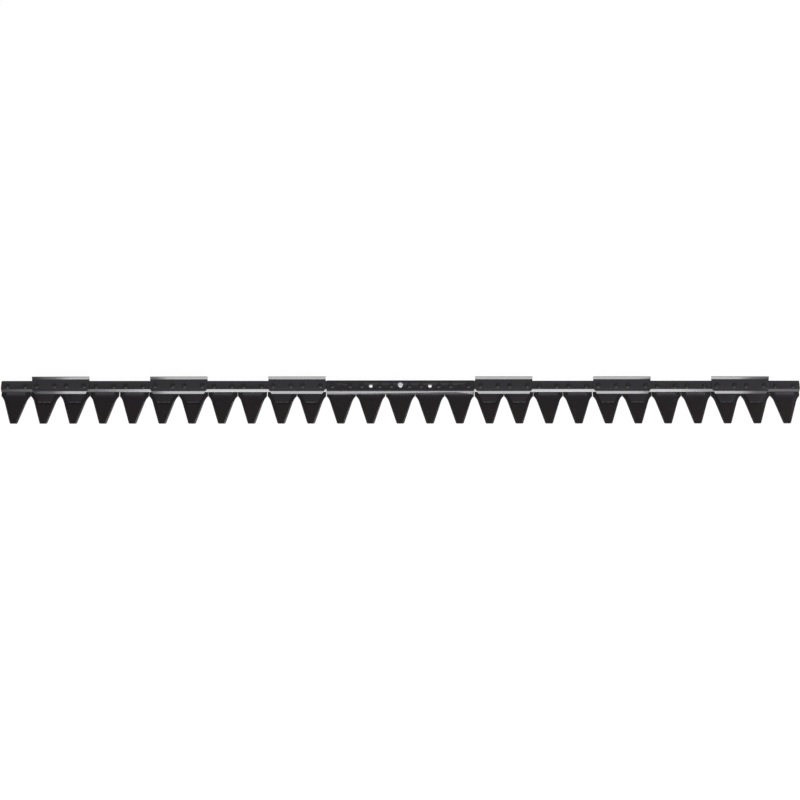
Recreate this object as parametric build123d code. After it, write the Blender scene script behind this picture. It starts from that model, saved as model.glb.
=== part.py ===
from build123d import *
from math import atan2, cos, degrees, radians, sin, sqrt, tan
import os

os.makedirs("parts", exist_ok=True)

# A long reciprocating mower knife: ground blade sections riveted under a flat knife back,
# pressed guide plates over pairs of sections, and a head plate with its pin at the middle.
# All sizes are in millimetres. X runs along the knife, the tips point to -Y and +Z is up.
# The origin is in the sliding plane under the sections, on the rivet line, at mid length.

# Row of sections
section_count = 27
pitch = 70.0
section_gap = 0.6
open_section_gap = 1.6
open_joints = (4, 9, 11, 13, 16, 20)  # joint 4 lies between sections 4 and 5, and so on

# Blade section, lengths measured from the rivet line
section_thickness = 3.0
section_front = 90.6
tip_width = 17.2
tip_corner = 1.6
flank_angle = 17.85
root_front = 35.0
root_radius = 30.0
edge_land = 0.4
bevel_width_at_root = 10.5
bevel_width_at_tip = 2.6
honed_width = 2.4  # of the steep strip along the edge, at the root
honed_angle = 36.0
flare_angle = 37.6

# Knife back, widths measured from the rivet line
back_rear = 13.8
back_front = 12.4
back_thickness = 6.0
back_bevel_angle = 50.0
back_overrun = 1.0
back_corner_radius = 2.5

# Pressed plates
plate_thickness = 3.0
bend_radius = 2.0
front_bend_radius = 7.0
plate_end_gap = 2.0
plate_step = 4  # sections from one guide plate to the next
plate_slope_setback = 1.15  # of the corner above the slope, behind the front of the knife back
slope_angle = 42.0
lip_overhang = 2.4
lip_length = 6.5
lip_angle = 45.0
tongue_front = 38.9
tongue_margin_at_foot = 10.0  # from the joint between two sections to the tongue
tongue_margin_at_front = 20.0
tongue_notch = 1.0
corner_cut_front = 7.0

# Head plate
head_section_count = 5
head_end_gap = 0.5
head_slope_setback = 0.2
head_slope_angle = 55.0
head_bend_radius = 6.0
drive_hole_radius = 4.5
drive_hole_relief = 2.5
locating_hole_radius = 4.0

# Head pin
pin_radius = 6.0
pin_height = 7.0
spigot_radius = 5.0
spigot_clearance = 0.2

# Rivets
rivet_spacing = 42.0
shank_radius = 3.0
shank_clearance = 0.2
head_radius = 5.75
head_top_radius = 3.7
head_height = 2.8

# Small round forms that nothing is fitted to are drawn with flats
shank_side_count = 4
round_side_count = 12
head_side_count = 10

# Heights, places and lengths that follow from the sizes above
back_bottom = section_thickness
back_top = back_bottom + back_thickness
plate_top = back_top + plate_thickness
tongue_top = section_thickness + plate_thickness
back_length = section_count * pitch + 2 * back_overrun
head_length = head_section_count * pitch - 2 * head_end_gap
head_first = (section_count - head_section_count) // 2 + 1
head_last = head_first + head_section_count - 1
cut_margin = 5.0


def section_x(number):
    """Middle of a section, counted from 1 at the left."""
    return (number - (section_count + 1) / 2) * pitch


def rivet_places(section_middle):
    return [section_middle - rivet_spacing / 2, section_middle + rivet_spacing / 2]


def head_x(sections_from_middle=0):
    """A place on the head plate, in sections from its middle."""
    return (section_x(head_first) + section_x(head_last)) / 2 + sections_from_middle * pitch


def guide_plate_sections():
    """The left-hand section of each pair that a guide plate covers, from left to right."""
    left = range(head_first - 2, 0, -plate_step)
    right = range(head_last + 1, section_count, plate_step)
    return sorted([*left, *right])


def upright(outline, bottom, top):
    """A plan outline pulled up from one height to another."""
    return Pos(0, 0, bottom) * extrude(outline, top - bottom, dir=(0, 0, 1))


def round_hole(x, radius, bottom, top):
    return Pos(x, 0, 0) * upright(Circle(radius), bottom - cut_margin, top + cut_margin)


def flat_sided_hole(x, radius, flats, bottom, top):
    """A hole whose flats lie at the given radius."""
    outline = RegularPolygon(radius, flats, major_radius=False)
    return Pos(x, 0, 0) * upright(outline, bottom - cut_margin, top + cut_margin)


def rivet_holes(section_middle, bottom, top):
    radius = shank_radius + shank_clearance
    return [flat_sided_hole(x, radius, shank_side_count, bottom, top) for x in rivet_places(section_middle)]


def flank_points():
    """Ends of the right-hand cutting edge, corners of the flat top beside them, and the honed strip's."""
    angle = radians(flank_angle)
    inward = Vector(-cos(angle), sin(angle))
    flank_x = tip_width / 2 + (section_front - root_front) * tan(angle)
    root_edge = Vector(flank_x, -root_front, edge_land)
    tip_edge = Vector(tip_width / 2, -section_front, edge_land)
    rise = Vector(0, 0, section_thickness - edge_land)
    root_border = root_edge + inward * bevel_width_at_root + rise
    tip_border = tip_edge - Vector(bevel_width_at_tip, 0) + rise
    honed_rise = Vector(0, 0, honed_width * tan(radians(honed_angle)))
    root_honed = root_edge + inward * honed_width + honed_rise
    return root_edge, tip_edge, root_border, tip_border, root_honed


def half_outline(side_x):
    """Right half of a section's plan: rear edge, side edge, rounded root, flank and blunt tip."""
    angle = radians(flank_angle)
    root_edge, tip_edge, *_ = flank_points()
    centre = root_edge + Vector(cos(angle), -sin(angle)) * root_radius
    shoulder_y = centre.Y + sqrt(root_radius**2 - (centre.X - side_x) ** 2)
    rear = (side_x, back_rear)
    shoulder = (side_x, shoulder_y)
    root = (root_edge.X, root_edge.Y)
    tip_side = (tip_edge.X + tip_corner * tan(angle), -section_front + tip_corner)
    tip_front = (tip_edge.X - tip_corner, -section_front)
    return [
        Line((0, back_rear), rear),
        Line(rear, shoulder),
        RadiusArc(shoulder, root, -root_radius),
        Line(root, tip_side),
        Line(tip_side, tip_front),
        Line(tip_front, (0, -section_front)),
    ]


def ground_away(plan, low, middle, high):
    """What a flat grinding pass takes off: a plan outline, above the plane through three points."""
    normal = (middle - low).cross(high - low)
    if normal.Z < 0:
        normal = -normal
    outline = make_face(Polyline(*[(point.X, point.Y) for point in plan], close=True))
    block = upright(outline, 0, section_thickness + cut_margin)
    return split(block, bisect_by=Plane(low, z_dir=normal), keep=Keep.TOP)


def grinding_passes():
    """The flats ground along the right-hand flank: root flare, wide bevel and honed strip."""
    root_edge, tip_edge, root_border, tip_border, root_honed = flank_points()
    flare = radians(flare_angle)
    behind = Vector(sin(flare), cos(flare)) * pitch
    outside = (root_edge - root_border).normalized() * pitch
    ahead = Vector(0, -cut_margin)
    middle = Vector(0, -section_front)
    rear_border = root_border + behind
    flare_plan = [root_border, root_border + outside, rear_border + outside, rear_border]
    flank_plan = [root_border, root_border + outside, tip_edge + outside + ahead, middle + ahead]
    return [
        ground_away(flare_plan, root_honed, root_border, rear_border),
        ground_away(flank_plan, root_honed, root_border, tip_border),
        ground_away(flank_plan, root_edge, tip_edge, root_honed),
    ]


def blade_section(left_gap, right_gap):
    """A ground section: flat underside, thin cutting edges, and three flats up to the flat top."""
    right = Curve() + half_outline((pitch - right_gap) / 2)
    left = mirror(Curve() + half_outline((pitch - left_gap) / 2), about=Plane.YZ)
    body = upright(make_face(right + left), 0, section_thickness)
    for taken_off in grinding_passes():
        body -= taken_off
        body -= mirror(taken_off, about=Plane.YZ)
    body -= rivet_holes(0, 0, section_thickness)
    return body


def drive_relief(section_middle):
    """Clearance holes for the drive bolts, in the sections that lie under them."""
    radius = drive_hole_radius + drive_hole_relief
    places = [head_x(step) - section_middle for step in (-1, 1)]
    near = [x for x in places if abs(x) < pitch / 2]
    return [flat_sided_hole(x, radius, round_side_count, 0, section_thickness) for x in near]


def numbered_section(number):
    left_gap = open_section_gap if number - 1 in open_joints else section_gap
    right_gap = open_section_gap if number in open_joints else section_gap
    body = blade_section(left_gap, right_gap)
    for hole in drive_relief(section_x(number)):
        body -= hole
    return Pos(section_x(number), 0, 0) * body


def knife_back():
    """A flat bar with a bevelled front, on top of all the sections."""
    bevel_run = back_thickness / tan(radians(back_bevel_angle))
    profile = Polygon(
        (back_rear, back_bottom),
        (-back_front, back_bottom),
        (bevel_run - back_front, back_top),
        (back_rear, back_top),
        align=None,
    )
    body = extrude(Plane.YZ * profile, back_length / 2, both=True)
    rear_corners = body.edges().filter_by(Axis.Z).filter_by_position(Axis.Y, back_rear, back_rear)
    body = fillet(rear_corners, back_corner_radius)
    for number in range(1, section_count + 1):
        body -= rivet_holes(section_x(number), back_bottom, back_top)
    body -= head_holes(back_bottom, back_top)
    return body


def head_holes(bottom, top):
    """The drive bolts' holes and the pin's hole, through the head plate or the knife back."""
    drive = [round_hole(head_x(step), drive_hole_radius, bottom, top) for step in (-1, 1)]
    spigot_hole_radius = spigot_radius + spigot_clearance
    return [*drive, flat_sided_hole(head_x(), spigot_hole_radius, round_side_count, bottom, top)]


def bent_sheet(top_line, radii, length):
    """A sheet bent along its top line, which is given from the rear, and pulled along X."""
    path = FilletPolyline(*top_line, radius=radii)
    profile = make_face(offset(path, plate_thickness, side=Side.LEFT))
    return extrude(Plane.YZ * profile, length / 2, both=True)


def guide_plate():
    """A plate over two sections: rear lip bent up, front bent down, and a tongue on each section."""
    lip_bend_rear = back_rear + lip_overhang
    lip_run = lip_length * cos(radians(lip_angle))
    lip_rise = lip_length * sin(radians(lip_angle))
    slope_front = back_front - plate_slope_setback
    foot_front = slope_front + (plate_top - tongue_top) / tan(radians(slope_angle))
    half_length = pitch - plate_end_gap
    top_line = [
        (lip_bend_rear + lip_run, plate_top + lip_rise),
        (lip_bend_rear, plate_top),
        (-slope_front, plate_top),
        (-foot_front, tongue_top),
        (-tongue_front, tongue_top),
    ]
    body = bent_sheet(top_line, [bend_radius, front_bend_radius + plate_thickness, 0], 2 * half_length)
    half_plan = [
        (half_length, lip_bend_rear + lip_length + plate_thickness),
        (half_length, -corner_cut_front),
        (pitch - tongue_margin_at_foot, -foot_front),
        (pitch - tongue_margin_at_front, -tongue_front),
        (tongue_margin_at_front, -tongue_front),
        (tongue_margin_at_foot, -foot_front - tongue_notch),
    ]
    plan = Polygon(*half_plan, *[(-x, y) for x, y in reversed(half_plan)], align=None)
    body &= upright(plan, 0, plate_top + lip_length)
    for middle in (-pitch / 2, pitch / 2):
        body -= rivet_holes(middle, back_top, plate_top)
    return body


def head_plate():
    """The plate over the middle sections that the drive bolts to, bent down in front of the back."""
    slope_front = back_front - head_slope_setback
    slope_run = plate_top / tan(radians(head_slope_angle))
    top_line = [
        (back_rear, plate_top),
        (-slope_front, plate_top),
        (-slope_front - slope_run, 0),
    ]
    body = bent_sheet(top_line, [head_bend_radius + plate_thickness], head_length)
    above_sections = Rectangle(head_length, 4 * section_front)
    body &= upright(above_sections, section_thickness, plate_top)
    body = Pos(head_x(), 0, 0) * body
    for number in range(head_first, head_last + 1):
        body -= rivet_holes(section_x(number), back_top, plate_top)
    body -= head_holes(back_top, plate_top)
    for step in (-2, 2):
        body -= flat_sided_hole(head_x(step), locating_hole_radius, round_side_count, back_top, plate_top)
    return body


def head_pin():
    """A shouldered pin on the head plate, its spigot down through the knife back."""
    spigot = RegularPolygon(spigot_radius, round_side_count, major_radius=False)
    body = upright(spigot, back_bottom, plate_top)
    body += upright(Circle(pin_radius), plate_top, plate_top + pin_height)
    return Pos(head_x(), 0, 0) * body


def rivet(seat):
    """A rivet whose head sits at the given height and whose tail is flush with the underside."""
    shank = RegularPolygon(shank_radius, shank_side_count, major_radius=False)
    head = RegularPolygon(head_radius, head_side_count, major_radius=False)
    head_taper = degrees(atan2(head_radius - head_top_radius, head_height))
    body = upright(shank, 0, seat)
    body += Pos(0, 0, seat) * extrude(head, head_height, dir=(0, 0, 1), taper=head_taper)
    return body


def rivet_row(numbers, seat):
    """The rivets of several sections, as separate solids."""
    pattern = rivet(seat)
    places = [x for number in numbers for x in rivet_places(section_x(number))]
    return Compound([Pos(x, 0, 0) * pattern for x in places])


def save(name, shape):
    export_step(shape, f"parts/{name}.step")


def main():
    numbers = range(1, section_count + 1)
    on_head = range(head_first, head_last + 1)
    on_plates = [first + side for first in guide_plate_sections() for side in (0, 1)]
    on_back = [number for number in numbers if number not in [*on_head, *on_plates]]
    for number in numbers:
        save(f"section_{number:02d}", numbered_section(number))
    save("knife_back", knife_back())
    pattern = guide_plate()
    for index, first in enumerate(guide_plate_sections(), start=1):
        save(f"guide_plate_{index}", Pos(section_x(first) + pitch / 2, 0, 0) * pattern)
    save("head_plate", head_plate())
    save("head_pin", head_pin())
    save("back_rivets", rivet_row(on_back, back_top))
    save("guide_plate_rivets", rivet_row(on_plates, plate_top))
    save("head_plate_rivets", rivet_row(on_head, plate_top))


main()
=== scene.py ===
# %% [markdown]
# # A long mower knife, dressed for the studio
# The knife is a row of ground blade sections riveted under a flat steel bar, with pressed plates
# on top of it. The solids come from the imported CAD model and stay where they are. This lesson
# gives them their finishes, and makes the bent and turned pieces again in finer meshes, with the
# small roundings that catch the light. The frame is the CAD model's own: X along the knife, the
# tips point to -Y and +Z is up. Blender counts in metres, and the sizes below are in millimetres.

# %% Load the fixed frame
import math

import bmesh
import bpy
from mathutils import Matrix, Vector


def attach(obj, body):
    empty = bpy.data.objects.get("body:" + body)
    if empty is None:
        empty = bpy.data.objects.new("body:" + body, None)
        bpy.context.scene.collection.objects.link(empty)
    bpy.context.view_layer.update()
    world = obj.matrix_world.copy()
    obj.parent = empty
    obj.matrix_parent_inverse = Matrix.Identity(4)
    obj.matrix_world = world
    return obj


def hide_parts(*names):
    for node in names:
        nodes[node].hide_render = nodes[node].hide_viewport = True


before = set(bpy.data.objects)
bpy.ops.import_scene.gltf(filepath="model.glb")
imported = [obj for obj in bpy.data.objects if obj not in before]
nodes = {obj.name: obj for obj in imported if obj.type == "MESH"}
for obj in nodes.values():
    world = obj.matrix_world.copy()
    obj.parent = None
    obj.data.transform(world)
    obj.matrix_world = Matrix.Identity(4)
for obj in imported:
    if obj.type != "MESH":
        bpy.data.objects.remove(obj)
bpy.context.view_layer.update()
MM = 0.001

# %% [markdown]
# ## The camera
# The knife is seen from in front and from high above, through a long lens. A view can be matched
# by eye, but here it follows from sizes that are known: seventy millimetres from one blade to the
# next, and how much the row shrinks towards its rear edge. A roll of a fortieth of a degree is
# what is left of a camera that wasn't quite level.

# %% Camera
CAMERA_ELEVATION = math.radians(70)
CAMERA_ROLL = math.radians(-0.025)
CAMERA_DISTANCE = 3.384
LOOKS_AT = Vector((-0.0009, -0.0325, 0.003))

eye = bpy.data.objects.new("camera", bpy.data.cameras.new("camera"))
bpy.context.scene.collection.objects.link(eye)
towards_eye = Vector((0, -math.cos(CAMERA_ELEVATION), math.sin(CAMERA_ELEVATION)))
tilt = Matrix.Rotation(math.pi / 2 - CAMERA_ELEVATION, 4, "X")
roll = Matrix.Rotation(CAMERA_ROLL, 4, "Z")
eye.matrix_world = Matrix.Translation(LOOKS_AT + towards_eye * CAMERA_DISTANCE) @ tilt @ roll
eye.data.lens = 64.4
eye.data.sensor_width = 36.0
eye.data.clip_end = 100
bpy.context.scene.camera = eye
bpy.context.scene.view_settings.view_transform = "Standard"
print("camera at", [round(value, 3) for value in eye.matrix_world.translation])

# %% [markdown]
# ## Shader sums as plain Python
# A material is a graph of nodes, which is slow to read when each sum is wired by hand. One small
# class holds an output socket and teaches Python's own signs to add Math nodes, so that
# `1 - mask * 0.5` means what it says. The other way round, such as a number minus a socket, needs
# the reflected forms.


# %% A socket that Python can calculate with
class Wire:
    def __init__(self, paint, socket):
        self.paint, self.socket = paint, socket

    def math(self, operation, *values):
        return self.paint.node("ShaderNodeMath", {"operation": operation}, dict(enumerate(values)))

    def __add__(self, other):
        return self.math("ADD", self, other)

    def __sub__(self, other):
        return self.math("SUBTRACT", self, other)

    def __rsub__(self, other):
        return self.math("SUBTRACT", other, self)

    def __mul__(self, other):
        return self.math("MULTIPLY", self, other)

    __radd__, __rmul__ = __add__, __mul__

    def __abs__(self):
        return self.math("ABSOLUTE", self)

    def most(self, other):
        return self.math("MAXIMUM", self, other)

    def root(self):
        return self.math("SQRT", self)

    def wave(self, length):
        """A wave from -1 to 1 that repeats after each length."""
        return self.math("SINE", self * (2 * math.pi / length))

    def folded(self, half):
        """Repeats from -half to half, as a row of equal pieces does."""
        return self.math("WRAP", self, half, -half)

    def rises(self, start, end):
        """0 up to start, 1 from end on, and smooth between them."""
        sockets = {0: self, 1: start, 2: end, 3: 0.0, 4: 1.0}
        return self.paint.node("ShaderNodeMapRange", {"interpolation_type": "SMOOTHSTEP"}, sockets)

    def falls(self, start, end):
        return 1 - self.rises(start, end)

    def out(self, name):
        return Wire(self.paint, self.socket.node.outputs[name])


# %% [markdown]
# ## One method for every other node
# Textures, bumps and shaders all take settings first, and then a value or a link for each socket,
# so one method makes them all. Colours are blended by a Mix node, because a Math node would turn
# them grey. The same class builds the materials and the sky.


# %% A node tree under construction
class Paint:
    def __init__(self, owner):
        owner.use_nodes = True
        self.owner, self.tree = owner, owner.node_tree
        self.tree.nodes.clear()

    def node(self, kind, settings=None, sockets=None, output=0):
        made = self.tree.nodes.new(kind)
        for name, value in (settings or {}).items():
            setattr(made, name, value)
        for name, value in (sockets or {}).items():
            if isinstance(value, Wire):
                self.tree.links.new(value.socket, made.inputs[name])
            else:
                made.inputs[name].default_value = value
        return Wire(self, made.outputs[output])

    def spot(self):
        """The place on the object in millimetres, as one vector and as X, Y and Z."""
        where = self.node("ShaderNodeTexCoord").out("Object")
        spot = self.node("ShaderNodeVectorMath", {"operation": "SCALE"}, {0: where, "Scale": 1000.0})
        split = self.node("ShaderNodeSeparateXYZ", {}, {0: spot})
        return spot, split.out("X"), split.out("Y"), split.out("Z")

    def along(self, x, y, z):
        return self.node("ShaderNodeCombineXYZ", {}, {0: x, 1: y, 2: z})

    def grain(self, spot, size, detail=3.0):
        """Soft noise from 0 to 1 whose clouds are about size millimetres wide."""
        sockets = {"Vector": spot, "Scale": 1.0 / size, "Detail": detail, "Roughness": 0.55}
        return self.node("ShaderNodeTexNoise", {}, sockets)

    def blend(self, amount, first, second):
        return self.node("ShaderNodeMix", {"data_type": "RGBA"}, {0: amount, 6: first, 7: second}, 2)

    def relief(self, height, depth):
        """A bump whose full height is depth millimetres."""
        return self.node("ShaderNodeBump", {}, {"Strength": 1.0, "Distance": depth * MM, "Height": height})

    def surface(self, **sockets):
        named = {name.replace("_", " "): value for name, value in sockets.items()}
        return self.ends_in(self.node("ShaderNodeBsdfPrincipled", {}, named))

    def ends_in(self, shader, kind="ShaderNodeOutputMaterial"):
        made = self.tree.nodes.new(kind)
        self.tree.links.new(shader.socket, made.inputs["Surface"])
        return self.owner


def grey(value):
    return (value, value, value, 1.0)


def rgb(red, green, blue):
    return (red, green, blue, 1.0)


print("shader helpers are ready")

# %% [markdown]
# ## The light
# A black and glossy thing is drawn by what it mirrors. From this height the flat tops mirror the
# dim room behind the knife, and the faces bent to about 45 degrees mirror a place low in front.
# That is where the strong light stands, so they turn nearly white. One wide lamp would give a
# hard end to that brightness, and the real one fades towards both ends of the knife, so three
# lamps of different widths stand one behind the other. A window at the right is what the honed
# edges of the blades on the left mirror. A photographed room around the scene would do it too,
# but lamps can be read and changed.


# %% Lamps
def lamp(name, width, height, radiance, location):
    """A soft rectangular lamp, turned to the knife, that is equally bright whatever its size."""
    data = bpy.data.lights.new(name, "AREA")
    data.shape = "RECTANGLE"
    data.size, data.size_y = width, height
    data.energy = radiance * math.pi * width * height
    made = bpy.data.objects.new(name, data)
    bpy.context.scene.collection.objects.link(made)
    made.location = location
    made.rotation_euler = (-Vector(location)).to_track_quat("-Z", "Y").to_euler()
    made.visible_camera = False


def in_front(elevation, distance):
    """A place in front of the knife at an elevation in degrees; past 90 it is behind the knife."""
    angle = math.radians(elevation)
    return Vector((0, -math.cos(angle), math.sin(angle))) * distance


TO_THE_RIGHT = Vector((0.07, 0, 0))
lamp("strip_wide", 4.4, 1.85, 1.5, in_front(19.5, 2.84) + TO_THE_RIGHT)
lamp("strip_middle", 3.3, 1.85, 2.9, in_front(19.5, 2.82) + TO_THE_RIGHT)
lamp("strip_narrow", 2.9, 1.85, 3.8, in_front(19.5, 2.80) + TO_THE_RIGHT)
lamp("floor_strip", 3.0, 0.28, 4.2, in_front(3.2, 2.70) + TO_THE_RIGHT)
lamp("right_window", 1.2, 1.0, 6.5, (2.6, 0.1, 1.75))
lamp("ceiling", 3.4, 1.2, 0.5, in_front(92, 3.4))

# %% [markdown]
# ## A white room
# The picture has a white ground. More light would make the ground white and spoil the black, so
# the sky and the floor say what they look like to the camera, and light the knife at a plain
# level. Mirroring surfaces see the same pale room, a little dimmer. The floor is mostly its own
# white and partly lit paper, which keeps the knife's soft shadow.

# %% Sky and floor
world = bpy.data.worlds.new("room")
bpy.context.scene.world = world
sky = Paint(world)
rays = sky.node("ShaderNodeLightPath")
mirrored = rays.out("Is Glossy Ray").most(rays.out("Is Transmission Ray"))
lighting = sky.node("ShaderNodeBackground", {}, {"Color": grey(1.0), "Strength": 0.5})
in_mirrors = sky.node("ShaderNodeBackground", {}, {"Color": grey(1.0), "Strength": 0.42})
in_view = sky.node("ShaderNodeBackground", {}, {"Color": grey(1.0), "Strength": 1.0})
unseen = sky.node("ShaderNodeMixShader", {}, {0: mirrored, 1: lighting, 2: in_mirrors})
seen = sky.node("ShaderNodeMixShader", {}, {0: rays.out("Is Camera Ray"), 1: unseen, 2: in_view})
sky.ends_in(seen, "ShaderNodeOutputWorld")

FLOOR_REACH = 14.0
FLOOR_DEPTH = -0.4 * MM
floor_mesh = bpy.data.meshes.new("floor")
ends = (-FLOOR_REACH, FLOOR_REACH)
floor_corners = [(x, y, FLOOR_DEPTH) for y in ends for x in ends]
floor_mesh.from_pydata(floor_corners, [], [(0, 1, 3, 2)])
floor = bpy.data.objects.new("floor", floor_mesh)
bpy.context.scene.collection.objects.link(floor)

paper = Paint(bpy.data.materials.new("white_paper"))
rays = paper.node("ShaderNodeLightPath")
looked_at = rays.out("Is Camera Ray").most(rays.out("Is Glossy Ray")).most(rays.out("Is Transmission Ray"))
lit = paper.node("ShaderNodeBsdfDiffuse", {}, {"Color": grey(0.85)})
white = paper.node("ShaderNodeEmission", {}, {"Color": grey(1.0), "Strength": 1.03})
shown = paper.node("ShaderNodeMixShader", {}, {0: looked_at * 0.92, 1: lit, 2: white})
floor_mesh.materials.append(paper.ends_in(shown))
print("the floor reaches", FLOOR_REACH, "m each way")

# %% [markdown]
# ## Sizes that the finishes and the pieces share
# The wear follows the shape: dust lies in front of the bar, the honed strip is as steep as it was
# ground. So the few sizes of the stack come first, and both the paint and the meshes use them.

# %% Sizes, in millimetres
PITCH = 70.0
SECTION_COUNT = 27
SHEET = 3.0
KNIFE_END = 946.0
BACK_REAR, BACK_FRONT = 13.8, -12.4
SECTION_TOP, TONGUE_TOP, BACK_TOP, PLATE_TOP = 3.0, 6.0, 9.0, 12.0
TONGUE_FRONT = -38.9
ROOT_X, ROOT_Y, FLANK_ANGLE = 26.505, -35.0, math.radians(17.85)
GUIDE_FIRSTS = (2, 6, 10, 17, 21, 25)
HEAD_NUMBERS = range(12, 17)
under_guides = [first + side for first in GUIDE_FIRSTS for side in (0, 1)]
bare = [number for number in range(1, SECTION_COUNT + 1) if number not in [*HEAD_NUMBERS, *under_guides]]


def section_x(number):
    return (number - (SECTION_COUNT + 1) / 2) * PITCH


print("blades from", section_x(1), "to", section_x(SECTION_COUNT), "mm, bare ones:", bare)

# %% [markdown]
# ## Gloss paint on the bar and the plates
# The bar and the pressed plates were dipped in black gloss paint. Such a coat is thick: it flows
# a little, so that straight reflections waver, and it holds dust specks and fine scratches that
# run along the knife, the way it slides. The coat of the shader is the gloss, so a mask can take
# it away where the plates rub or where old grease lies along a bend. On the free edges the paint
# is thin and the steel comes through. The base under the coat is nearly black.


# %% Gloss paint
def gloss_paint(name, gloss, dullest, dull_from, dull_to, tongues=False):
    """Black gloss that grows dull from one Y on, is dullest at a second one and then ends there."""
    paint = Paint(bpy.data.materials.new(name))
    spot, x, y, z = paint.spot()
    cloud = paint.grain(spot, 45, 4)
    scratches = paint.grain(paint.along(x * 0.02, y * 2.2, z * 2.2), 1.0, 2).rises(0.66, 0.74)
    specks = paint.grain(spot, 0.9, 1).rises(0.74, 0.8)
    dull = y.falls(dull_to, dull_from) * y.rises(dull_to - 2.0, dull_to - 0.6) * dullest
    edge = z.rises(PLATE_TOP + 4.0, PLATE_TOP + 4.4)
    rough = dull * 0.1
    colour = paint.blend(cloud, rgb(0.0075, 0.0065, 0.0080), rgb(0.0125, 0.0105, 0.0135))
    if tongues:
        rubbed = y.falls(-20.0, -17.5)
        colour = paint.blend(rubbed * 0.7, colour, rgb(0.0060, 0.0048, 0.0066))
        dull = dull.most(rubbed)
        rough = rough.most(rubbed * 0.22)
        edge = edge.most(y.falls(TONGUE_FRONT + 0.2, TONGUE_FRONT + 1.2))
    worn = edge * paint.grain(spot, 2.5, 4).rises(0.42, 0.56)
    colour = paint.blend(specks * 0.5, colour, rgb(0.075, 0.070, 0.064))
    colour = paint.blend(worn * 0.4, colour, rgb(0.12, 0.115, 0.11))
    roughness = cloud * 0.08 + 0.12 + rough + specks * 0.2 + scratches * 0.1
    flow = paint.grain(spot, 14, 1) + paint.grain(spot, 1.6, 2) * 0.08
    normal = paint.relief(flow - scratches * 0.04, 0.08)
    coat = (1 - dull) * gloss
    return paint.surface(
        Base_Color=colour, Roughness=roughness, IOR=1.36, Coat_Weight=coat, Coat_Roughness=0.12, Normal=normal
    )


# %% [markdown]
# ## Black ground steel of the blades
# A blade is hardened, ground on both flanks, and blackened with oil. The wheel leaves fine lines
# straight across the bevel, so the lines are drawn in the edge's own directions: along it and
# into the blade. Near the bar the black is bluish, with a strip of dust in the corner in front of
# it, and towards the tip it is a warmer brown-black. The facets are told apart by how steep they
# are, which their normal says exactly, and the ground bevels get a painted shade, darker than the top.
# Under the guide plates a painted shadow darkens the blade just ahead of the tongues.


# %% Blade steel
def blade_steel(name, with_tongue_shadow=False):
    paint = Paint(bpy.data.materials.new(name))
    spot, x, y, z = paint.spot()
    across = abs(x.folded(PITCH / 2))
    cosine, sine = math.cos(FLANK_ANGLE), math.sin(FLANK_ANGLE)
    inwards = (ROOT_X - across) * cosine + (y - ROOT_Y) * sine
    lengthways = (across - ROOT_X) * sine + (y - ROOT_Y) * cosine
    facing = paint.node("ShaderNodeNewGeometry").out("Normal")
    upward = paint.node("ShaderNodeSeparateXYZ", {}, {0: facing}).out("Z")
    honed = upward.falls(0.86, 0.94) * upward.rises(0.5, 0.6)
    bevel_grind_and_shade = upward.falls(0.992, 0.998) * upward.rises(0.5, 0.6)
    cloud = paint.grain(spot, 30, 4)
    stains = paint.grain(spot, 7, 5).rises(0.55, 0.8)
    lines = paint.grain(paint.along(lengthways, inwards * 0.06, x * 0.004), 0.55, 2)
    rubs = paint.grain(paint.along(x * 0.03, y * 1.6, z), 1.0, 2).rises(0.62, 0.72) * paint.grain(spot, 18, 2)
    chips = paint.grain(spot, 1.4, 4).rises(0.56, 0.66) * honed
    towards_tip = y.falls(-44.0, -26.0)
    oil = paint.grain(paint.along(x, y * 0.5, z), 40, 2).rises(0.40, 0.60)
    tip_colour = paint.blend(oil, rgb(0.0085, 0.0045, 0.0062), rgb(0.0066, 0.0062, 0.0050))
    colour = paint.blend(towards_tip, rgb(0.0070, 0.0060, 0.0085), tip_colour)
    colour = paint.blend(cloud * 0.5, colour, rgb(0.0110, 0.0085, 0.0100))
    # Painted shade: the ground bevels are coloured darker than the flat top. The same mask also carries the real
    # grinding lines in the bump.
    colour = paint.blend(bevel_grind_and_shade * 0.5, colour, rgb(0.0030, 0.0026, 0.0034))
    colour = paint.blend(stains * 0.3, colour, rgb(0.024, 0.018, 0.017))
    colour = paint.blend(honed * (lines * 0.5 + 0.2), colour, rgb(0.024, 0.022, 0.022))
    colour = paint.blend(rubs * 0.35, colour, rgb(0.022, 0.020, 0.020))
    colour = paint.blend(chips * 0.6, colour, rgb(0.075, 0.068, 0.064))
    roughness = cloud * 0.1 + 0.3 - honed * 0.1 + stains * 0.12 + rubs * 0.1
    if with_tongue_shadow:
        # Painted shadow: the blade is coloured darker, and made a little rougher, just ahead of the tongues' front
        # edges, where they shade it.
        painted_tongue_shadow = y.falls(TONGUE_FRONT - 0.4, TONGUE_FRONT + 0.4) * y.rises(TONGUE_FRONT - 6.5, TONGUE_FRONT - 3.0)
        painted_tongue_shadow = painted_tongue_shadow * across.falls(14.0, 17.5) * (cloud * 0.4 + 0.6)
        colour = paint.blend(painted_tongue_shadow * 0.9, colour, rgb(0.0015, 0.0012, 0.0014))
        roughness = roughness + painted_tongue_shadow * 0.25
    else:
        dust = y.rises(-27.0, -18.0) * across.falls(20.0, 25.5) * (0.35 + y.rises(-19.6, -18.4) * 0.65)
        colour = paint.blend(dust * (cloud * 0.6 + 0.6), colour, rgb(0.040, 0.037, 0.042))
        roughness = roughness + dust * 0.1
    normal = paint.relief(lines * bevel_grind_and_shade + rubs * 0.3, 0.022)
    return paint.surface(Base_Color=colour, Roughness=roughness, IOR=1.3, Normal=normal)


# %% [markdown]
# ## Rivets and pin
# The rivets were set before the knife was dipped, so they are black too, but the punch left them
# rougher and their rims are rubbed. The pin is turned and plated bright, and turning leaves fine
# rings round its axis, which follow the distance from that axis.


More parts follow.
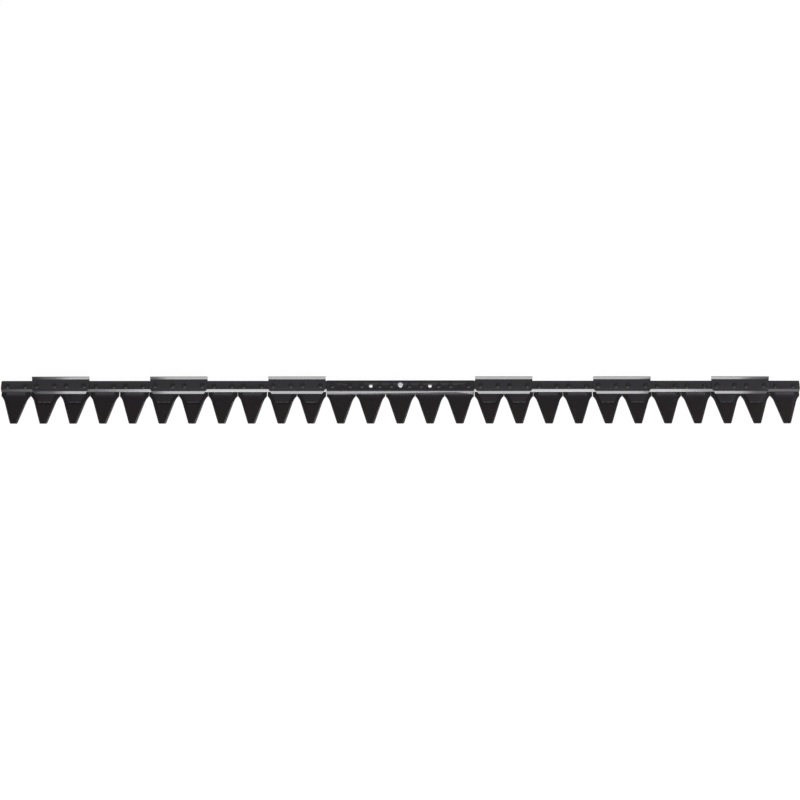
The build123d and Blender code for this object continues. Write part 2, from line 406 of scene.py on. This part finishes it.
# %% Rivet paint and bright plating
def rivet_paint(name):
    paint = Paint(bpy.data.materials.new(name))
    spot, x, y, z = paint.spot()
    cloud = paint.grain(spot, 6, 4)
    rubbed = paint.grain(spot, 1.8, 4).rises(0.5, 0.68) * z.rises(BACK_TOP + 2.0, BACK_TOP + 2.7)
    colour = paint.blend(cloud, rgb(0.0060, 0.0055, 0.0062), rgb(0.0120, 0.0110, 0.0125))
    colour = paint.blend(rubbed * 0.3, colour, rgb(0.070, 0.066, 0.062))
    normal = paint.relief(paint.grain(spot, 1.2, 2), 0.05)
    return paint.surface(Base_Color=colour, Roughness=cloud * 0.14 + 0.42, IOR=1.33, Normal=normal)


def bright_plating(name):
    paint = Paint(bpy.data.materials.new(name))
    spot, x, y, z = paint.spot()
    rings = (x * x + y * y).root().wave(0.7)
    tarnish = paint.grain(spot, 2.5, 5)
    top = z.rises(PLATE_TOP + 5.6, PLATE_TOP + 6.4)
    colour = paint.blend(tarnish.rises(0.4, 0.75), rgb(0.74, 0.74, 0.76), rgb(0.58, 0.58, 0.60))
    # Only the top face is bright; the flank below it is coloured nearly black.
    colour = paint.blend(top, rgb(0.045, 0.043, 0.042), colour)
    normal = paint.relief(rings, 0.006)
    return paint.surface(Base_Color=colour, Metallic=0.9, Roughness=tarnish * 0.15 + 0.45, Normal=normal)


bar_paint = gloss_paint("bar_paint", 1.0, 0.5, 12.0, -5.6)
plate_paint = gloss_paint("plate_paint", 0.8, 1.0, -8.0, -8.8, tongues=True)
head_paint = gloss_paint("head_paint", 0.47, 1.0, 2.0, -12.0)
blade_black = blade_steel("blade_black")
blade_tongue_shadowed = blade_steel("blade_tongue_shadowed", with_tongue_shadow=True)
rivet_black = rivet_paint("rivet_paint")
pin_plating = bright_plating("pin_plating")
for number in range(1, SECTION_COUNT + 1):
    mesh = nodes[f"section_{number:02d}"].data
    mesh.materials.clear()
    mesh.materials.append(blade_tongue_shadowed if number in under_guides else blade_black)
print("finishes:", [material.name for material in bpy.data.materials if material.users])

# %% [markdown]
# ## Sheet metal: cut flat, then bent
# The guide plates and the head plate are pressed from three millimetre sheet. They could be
# carved from a block, but it is easier to do what the press shop does: draw the flat blank, give
# it its thickness and broken edges, and then bend it over the tool. First comes the line that the
# top of the sheet follows, made of straight runs and round corners and measured by its length.


# %% The line a sheet is bent along
class BentLine:
    def __init__(self, corners, radii):
        points = [Vector(corner) for corner in corners]
        self.runs = []
        start, along = points[0], 0.0
        for here, after, radius in zip(points[1:], points[2:], radii):
            heading = (here - start).normalized()
            onward = (after - here).normalized()
            turn = -heading.angle_signed(onward)
            trim = radius * math.tan(abs(turn) / 2)
            straight = (here - start).length - trim
            self.runs.append((along, along + straight, start, heading, 0.0))
            along += straight
            bent = radius * abs(turn)
            begin = start + heading * straight
            self.runs.append((along, along + bent, begin, heading, math.copysign(radius, turn)))
            along += bent
            start = here + onward * trim
        last = points[-1] - start
        self.length = along + last.length
        self.runs.append((along, self.length, start, last.normalized(), 0.0))

    def bends(self):
        return [(run[0], run[1]) for run in self.runs if run[4]]

    def at(self, along, down):
        """Y and Z at a length along the top of the sheet and a depth below it."""
        first, _, place, heading, radius = next((run for run in self.runs if along <= run[1]), self.runs[-1])
        gone = along - first
        if radius:
            side = Vector((-heading.y, heading.x))
            turned_by = gone / radius
            place = place + (side * (1 - math.cos(turned_by)) + heading * math.sin(turned_by)) * radius
            heading = heading * math.cos(turned_by) + side * math.sin(turned_by)
        else:
            place = place + heading * gone
        return place - Vector((heading.y, -heading.x)) * down

    def along_at(self, y):
        """The length at which the line passes a given Y."""
        low, high = 0.0, self.length
        while high - low > 1e-4:
            middle = (low + high) / 2
            low, high = (middle, high) if self.at(middle, 0).x > y else (low, middle)
        return low


print("a sheet can now follow a bent line")

# %% [markdown]
# ## Blank, edges, bend
# The blank lives in its own coordinates: X across, Y along the sheet, Z down through it. It is
# cut into narrow strips where it will bend, so that the bend comes out round. The upright edges
# get the small corner radius of the stamping tool, and the rims get the broken edge on which
# paint is thin and light catches. Only then is each vertex moved to its place on the line.


# %% Blank
def blank(outline, holes=()):
    sheet = bmesh.new()
    for loop in [outline, *holes]:
        ring = [sheet.verts.new((x, along, 0)) for x, along in loop]
        for first, second in zip(ring, ring[1:] + ring[:1]):
            sheet.edges.new((first, second))
    bmesh.ops.triangle_fill(sheet, use_beauty=True, edges=sheet.edges[:])
    bmesh.ops.dissolve_limit(sheet, angle_limit=0.01, verts=sheet.verts[:], edges=sheet.edges[:])
    return sheet


def cut_into_strips(sheet, line, strips):
    for start, end in line.bends():
        for step in range(strips + 1):
            along = start + (end - start) * step / strips
            whole = sheet.verts[:] + sheet.edges[:] + sheet.faces[:]
            bmesh.ops.bisect_plane(sheet, geom=whole, plane_co=(0, along, 0), plane_no=(0, 1, 0))


# %% Thickness and edges
def break_edges(shape, edges, size, steps):
    bmesh.ops.bevel(shape, geom=edges, offset=size, segments=steps, profile=0.5, affect="EDGES", clamp_overlap=True)


def thicken(sheet, corner_radius, broken_edge, depth=SHEET):
    made = bmesh.ops.extrude_face_region(sheet, geom=sheet.faces[:])
    lowered = [item for item in made["geom"] if isinstance(item, bmesh.types.BMVert)]
    bmesh.ops.translate(sheet, verts=lowered, vec=(0, 0, depth))
    bmesh.ops.recalc_face_normals(sheet, faces=sheet.faces[:])
    corners = []
    for edge in sheet.edges:
        first, second = edge.verts
        if abs(first.co.z - second.co.z) > depth / 2 and edge.calc_face_angle(0) > math.radians(20):
            corners.append(edge)
    break_edges(sheet, corners, corner_radius, 4)
    rims = [edge for edge in sheet.edges if sum(abs(face.normal.z) < 0.5 for face in edge.link_faces) == 1]
    break_edges(sheet, rims, broken_edge, 3)


# %% Bend, and hand over as a piece
def bend(sheet, line, shift, front_lean=0.0):
    """Bends the blank and moves it along the knife. A lean sends the front edge on with the depth."""
    for vertex in sheet.verts:
        x, along, down = vertex.co
        if along > line.length - SHEET:
            along += down * front_lean
        y, z = line.at(along, down)
        vertex.co = ((x + shift) * MM, y * MM, z * MM)


def as_piece(name, shape, finish, slot, *replaced):
    """Makes a bmesh a piece that rides on the knife and stands for its CAD nodes."""
    bmesh.ops.recalc_face_normals(shape, faces=shape.faces[:])
    mesh = bpy.data.meshes.new(name)
    shape.to_mesh(mesh)
    shape.free()
    mesh.polygons.foreach_set("use_smooth", [True] * len(mesh.polygons))
    mesh.set_sharp_from_angle(angle=math.radians(32))
    mesh.materials.append(finish)
    piece = bpy.data.objects.new(name, mesh)
    bpy.context.scene.collection.objects.link(piece)
    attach(piece, "root")
    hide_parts(*replaced)
    print(name, len(mesh.polygons), "faces")


# %% [markdown]
# ## Guide plates
# Each guide plate lies over two blades. Its rear lip is bent up, which stiffens it, and its front
# comes down over the bar and ends in two tongues that press the blades' roots down.

# %% Guide plates
GUIDE_CORNERS = [(20.796, 16.596), (16.2, PLATE_TOP), (-11.25, PLATE_TOP), (-17.914, TONGUE_TOP), (-38.9, TONGUE_TOP)]
guide_line = BentLine(GUIDE_CORNERS, [2.0, 10.0, 1.2])
half_outline = [
    (68.0, 0.0),
    (68.0, guide_line.along_at(-7.0)),
    (60.0, guide_line.along_at(-17.9)),
    (50.0, guide_line.length),
    (20.0, guide_line.length),
    (10.0, guide_line.along_at(-18.9)),
]
guide_outline = half_outline + [(-x, along) for x, along in reversed(half_outline)]
for index, first in enumerate(GUIDE_FIRSTS, start=1):
    sheet = blank(guide_outline)
    cut_into_strips(sheet, guide_line, 8)
    thicken(sheet, 1.5, 0.5)
    bend(sheet, guide_line, section_x(first) + PITCH / 2)
    as_piece(f"pressed_plate_{index}", sheet, plate_paint, "plate_paint", f"guide_plate_{index}")

# %% [markdown]
# ## Head plate
# The plate in the middle covers five blades and stands on them with its bent front. Two holes go
# right through for the drive bolts, and two blind ones locate the drive. Holes are loops of the
# same blank, so they get the same broken edge. The slope's foot stands flat on the blades, so it
# leans back with the depth of the sheet.


# %% Head plate
def circle(x, along, radius, count=48):
    turns = [2 * math.pi * step / count for step in range(count)]
    return [(x + radius * math.cos(turn), along + radius * math.sin(turn)) for turn in turns]


HEAD_HALF = 174.5
HEAD_SLOPE = math.radians(55)
head_foot = -12.2 - (PLATE_TOP - SECTION_TOP) / math.tan(HEAD_SLOPE)
head_line = BentLine([(BACK_REAR, PLATE_TOP), (-12.2, PLATE_TOP), (head_foot, SECTION_TOP)], [5.5])
head_outline = [(x, along) for x, along in ((1, 0), (1, 1), (-1, 1), (-1, 0))]
head_outline = [(x * HEAD_HALF, along * head_line.length) for x, along in head_outline]
rivet_line = head_line.along_at(0.0)
holes = [circle(x, rivet_line, radius) for x, radius in ((-140, 4.0), (-70, 4.5), (70, 4.5), (140, 4.0))]
sheet = blank(head_outline, holes)
cut_into_strips(sheet, head_line, 10)
thicken(sheet, 1.0, 0.35)
bend(sheet, head_line, 0.0, -1 / math.tan(HEAD_SLOPE))
as_piece("bent_head_plate", sheet, head_paint, "plate_paint", "head_plate")

# %% [markdown]
# ## The bar
# The knife back is a rolled bar, six millimetres thick, with a planed front. It could keep its CAD
# mesh, but a rolled bar has no sharp corner: the thin light line along its rear edge is a rounding.
# It is a thick blank that isn't bent at all, whose front leans forward all the way down.

# %% Rolled bar
BAR_DEPTH = BACK_TOP - SECTION_TOP
BAR_BEVEL = math.radians(50)
bar_top_front = BACK_FRONT + BAR_DEPTH / math.tan(BAR_BEVEL)
bar_line = BentLine([(BACK_REAR, BACK_TOP), (bar_top_front, BACK_TOP)], [])
bar_outline = [(-KNIFE_END, 0), (KNIFE_END, 0), (KNIFE_END, bar_line.length), (-KNIFE_END, bar_line.length)]
bar_rivet_line = bar_line.along_at(0.0)
bolt_holes = [circle(x, bar_rivet_line, 4.5) for x in (-PITCH, PITCH)]
sheet = blank(bar_outline, bolt_holes)
thicken(sheet, 2.5, 0.35, BAR_DEPTH)
bend(sheet, bar_line, 0.0, 1 / math.tan(BAR_BEVEL))
as_piece("rolled_bar", sheet, bar_paint, "back_paint", "knife_back")

# %% [markdown]
# ## Turned pieces
# A rivet and a pin are round, so each is a profile spun about an upright axis. The rivet's head
# is a low cone with the dimple of the setting punch, and its tail is peened flush into the blade.
# The CAD rivets are drawn with flats to save faces, which is why these stand for them.


# %% Spinning a profile
def turned(shape, profile, x, steps=28):
    """Spins a profile of radius and height, given from the axis outwards and back, round X."""
    rings = []
    for radius, height in profile:
        angles = [2 * math.pi * step / steps for step in range(steps if radius else 1)]
        ring = [((x + radius * math.cos(turn)) * MM, radius * math.sin(turn) * MM, height * MM) for turn in angles]
        rings.append([shape.verts.new(place) for place in ring])
    for inner, outer in zip(rings, rings[1:]):
        for step in range(steps):
            after = (step + 1) % steps
            corners = [inner[step % len(inner)], outer[step % len(outer)]]
            corners += [outer[after % len(outer)], inner[after % len(inner)]]
            shape.faces.new(list(dict.fromkeys(corners)))


# %% Rivets
def rivet_profile(seat):
    top = seat + 2.8
    head = [(0, top - 0.9), (0.9, top - 0.75), (1.5, top - 0.12), (1.75, top), (3.1, top), (3.7, top - 0.14)]
    flank = [(4.15, top - 0.55), (5.35, seat + 0.75), (5.7, seat + 0.35), (5.75, seat - 0.05)]
    tail = [(3.0, seat - 0.05), (3.0, 0.25), (4.7, 0.06), (4.4, -0.08), (3.0, -0.16), (0, -0.18)]
    return head + flank + tail


for name, numbers, seat in (
    ("back_rivets", bare, BACK_TOP),
    ("guide_plate_rivets", under_guides, PLATE_TOP),
    ("head_plate_rivets", HEAD_NUMBERS, PLATE_TOP),
):
    shape = bmesh.new()
    for number in numbers:
        for side in (-21.0, 21.0):
            turned(shape, rivet_profile(seat), section_x(number) + side)
    as_piece(f"round_{name}", shape, rivet_black, "rivet_steel", name)

# %% Head pin
tip = [(0, 18.4), (0.5, 18.45), (1.2, 18.96), (1.4, 19.0), (5.45, 19.0), (5.6, 18.96), (5.95, 18.6), (6.0, 18.4)]
collar = [(6.0, 12.9), (6.1, 12.5), (6.5, 12.1), (6.6, 11.95)]
spigot = [(5.0, 11.95), (5.0, 3.02), (0, 3.02)]
shape = bmesh.new()
turned(shape, tip + collar + spigot, 0.0, 48)
as_piece("turned_head_pin", shape, pin_plating, "pin_steel", "head_pin")
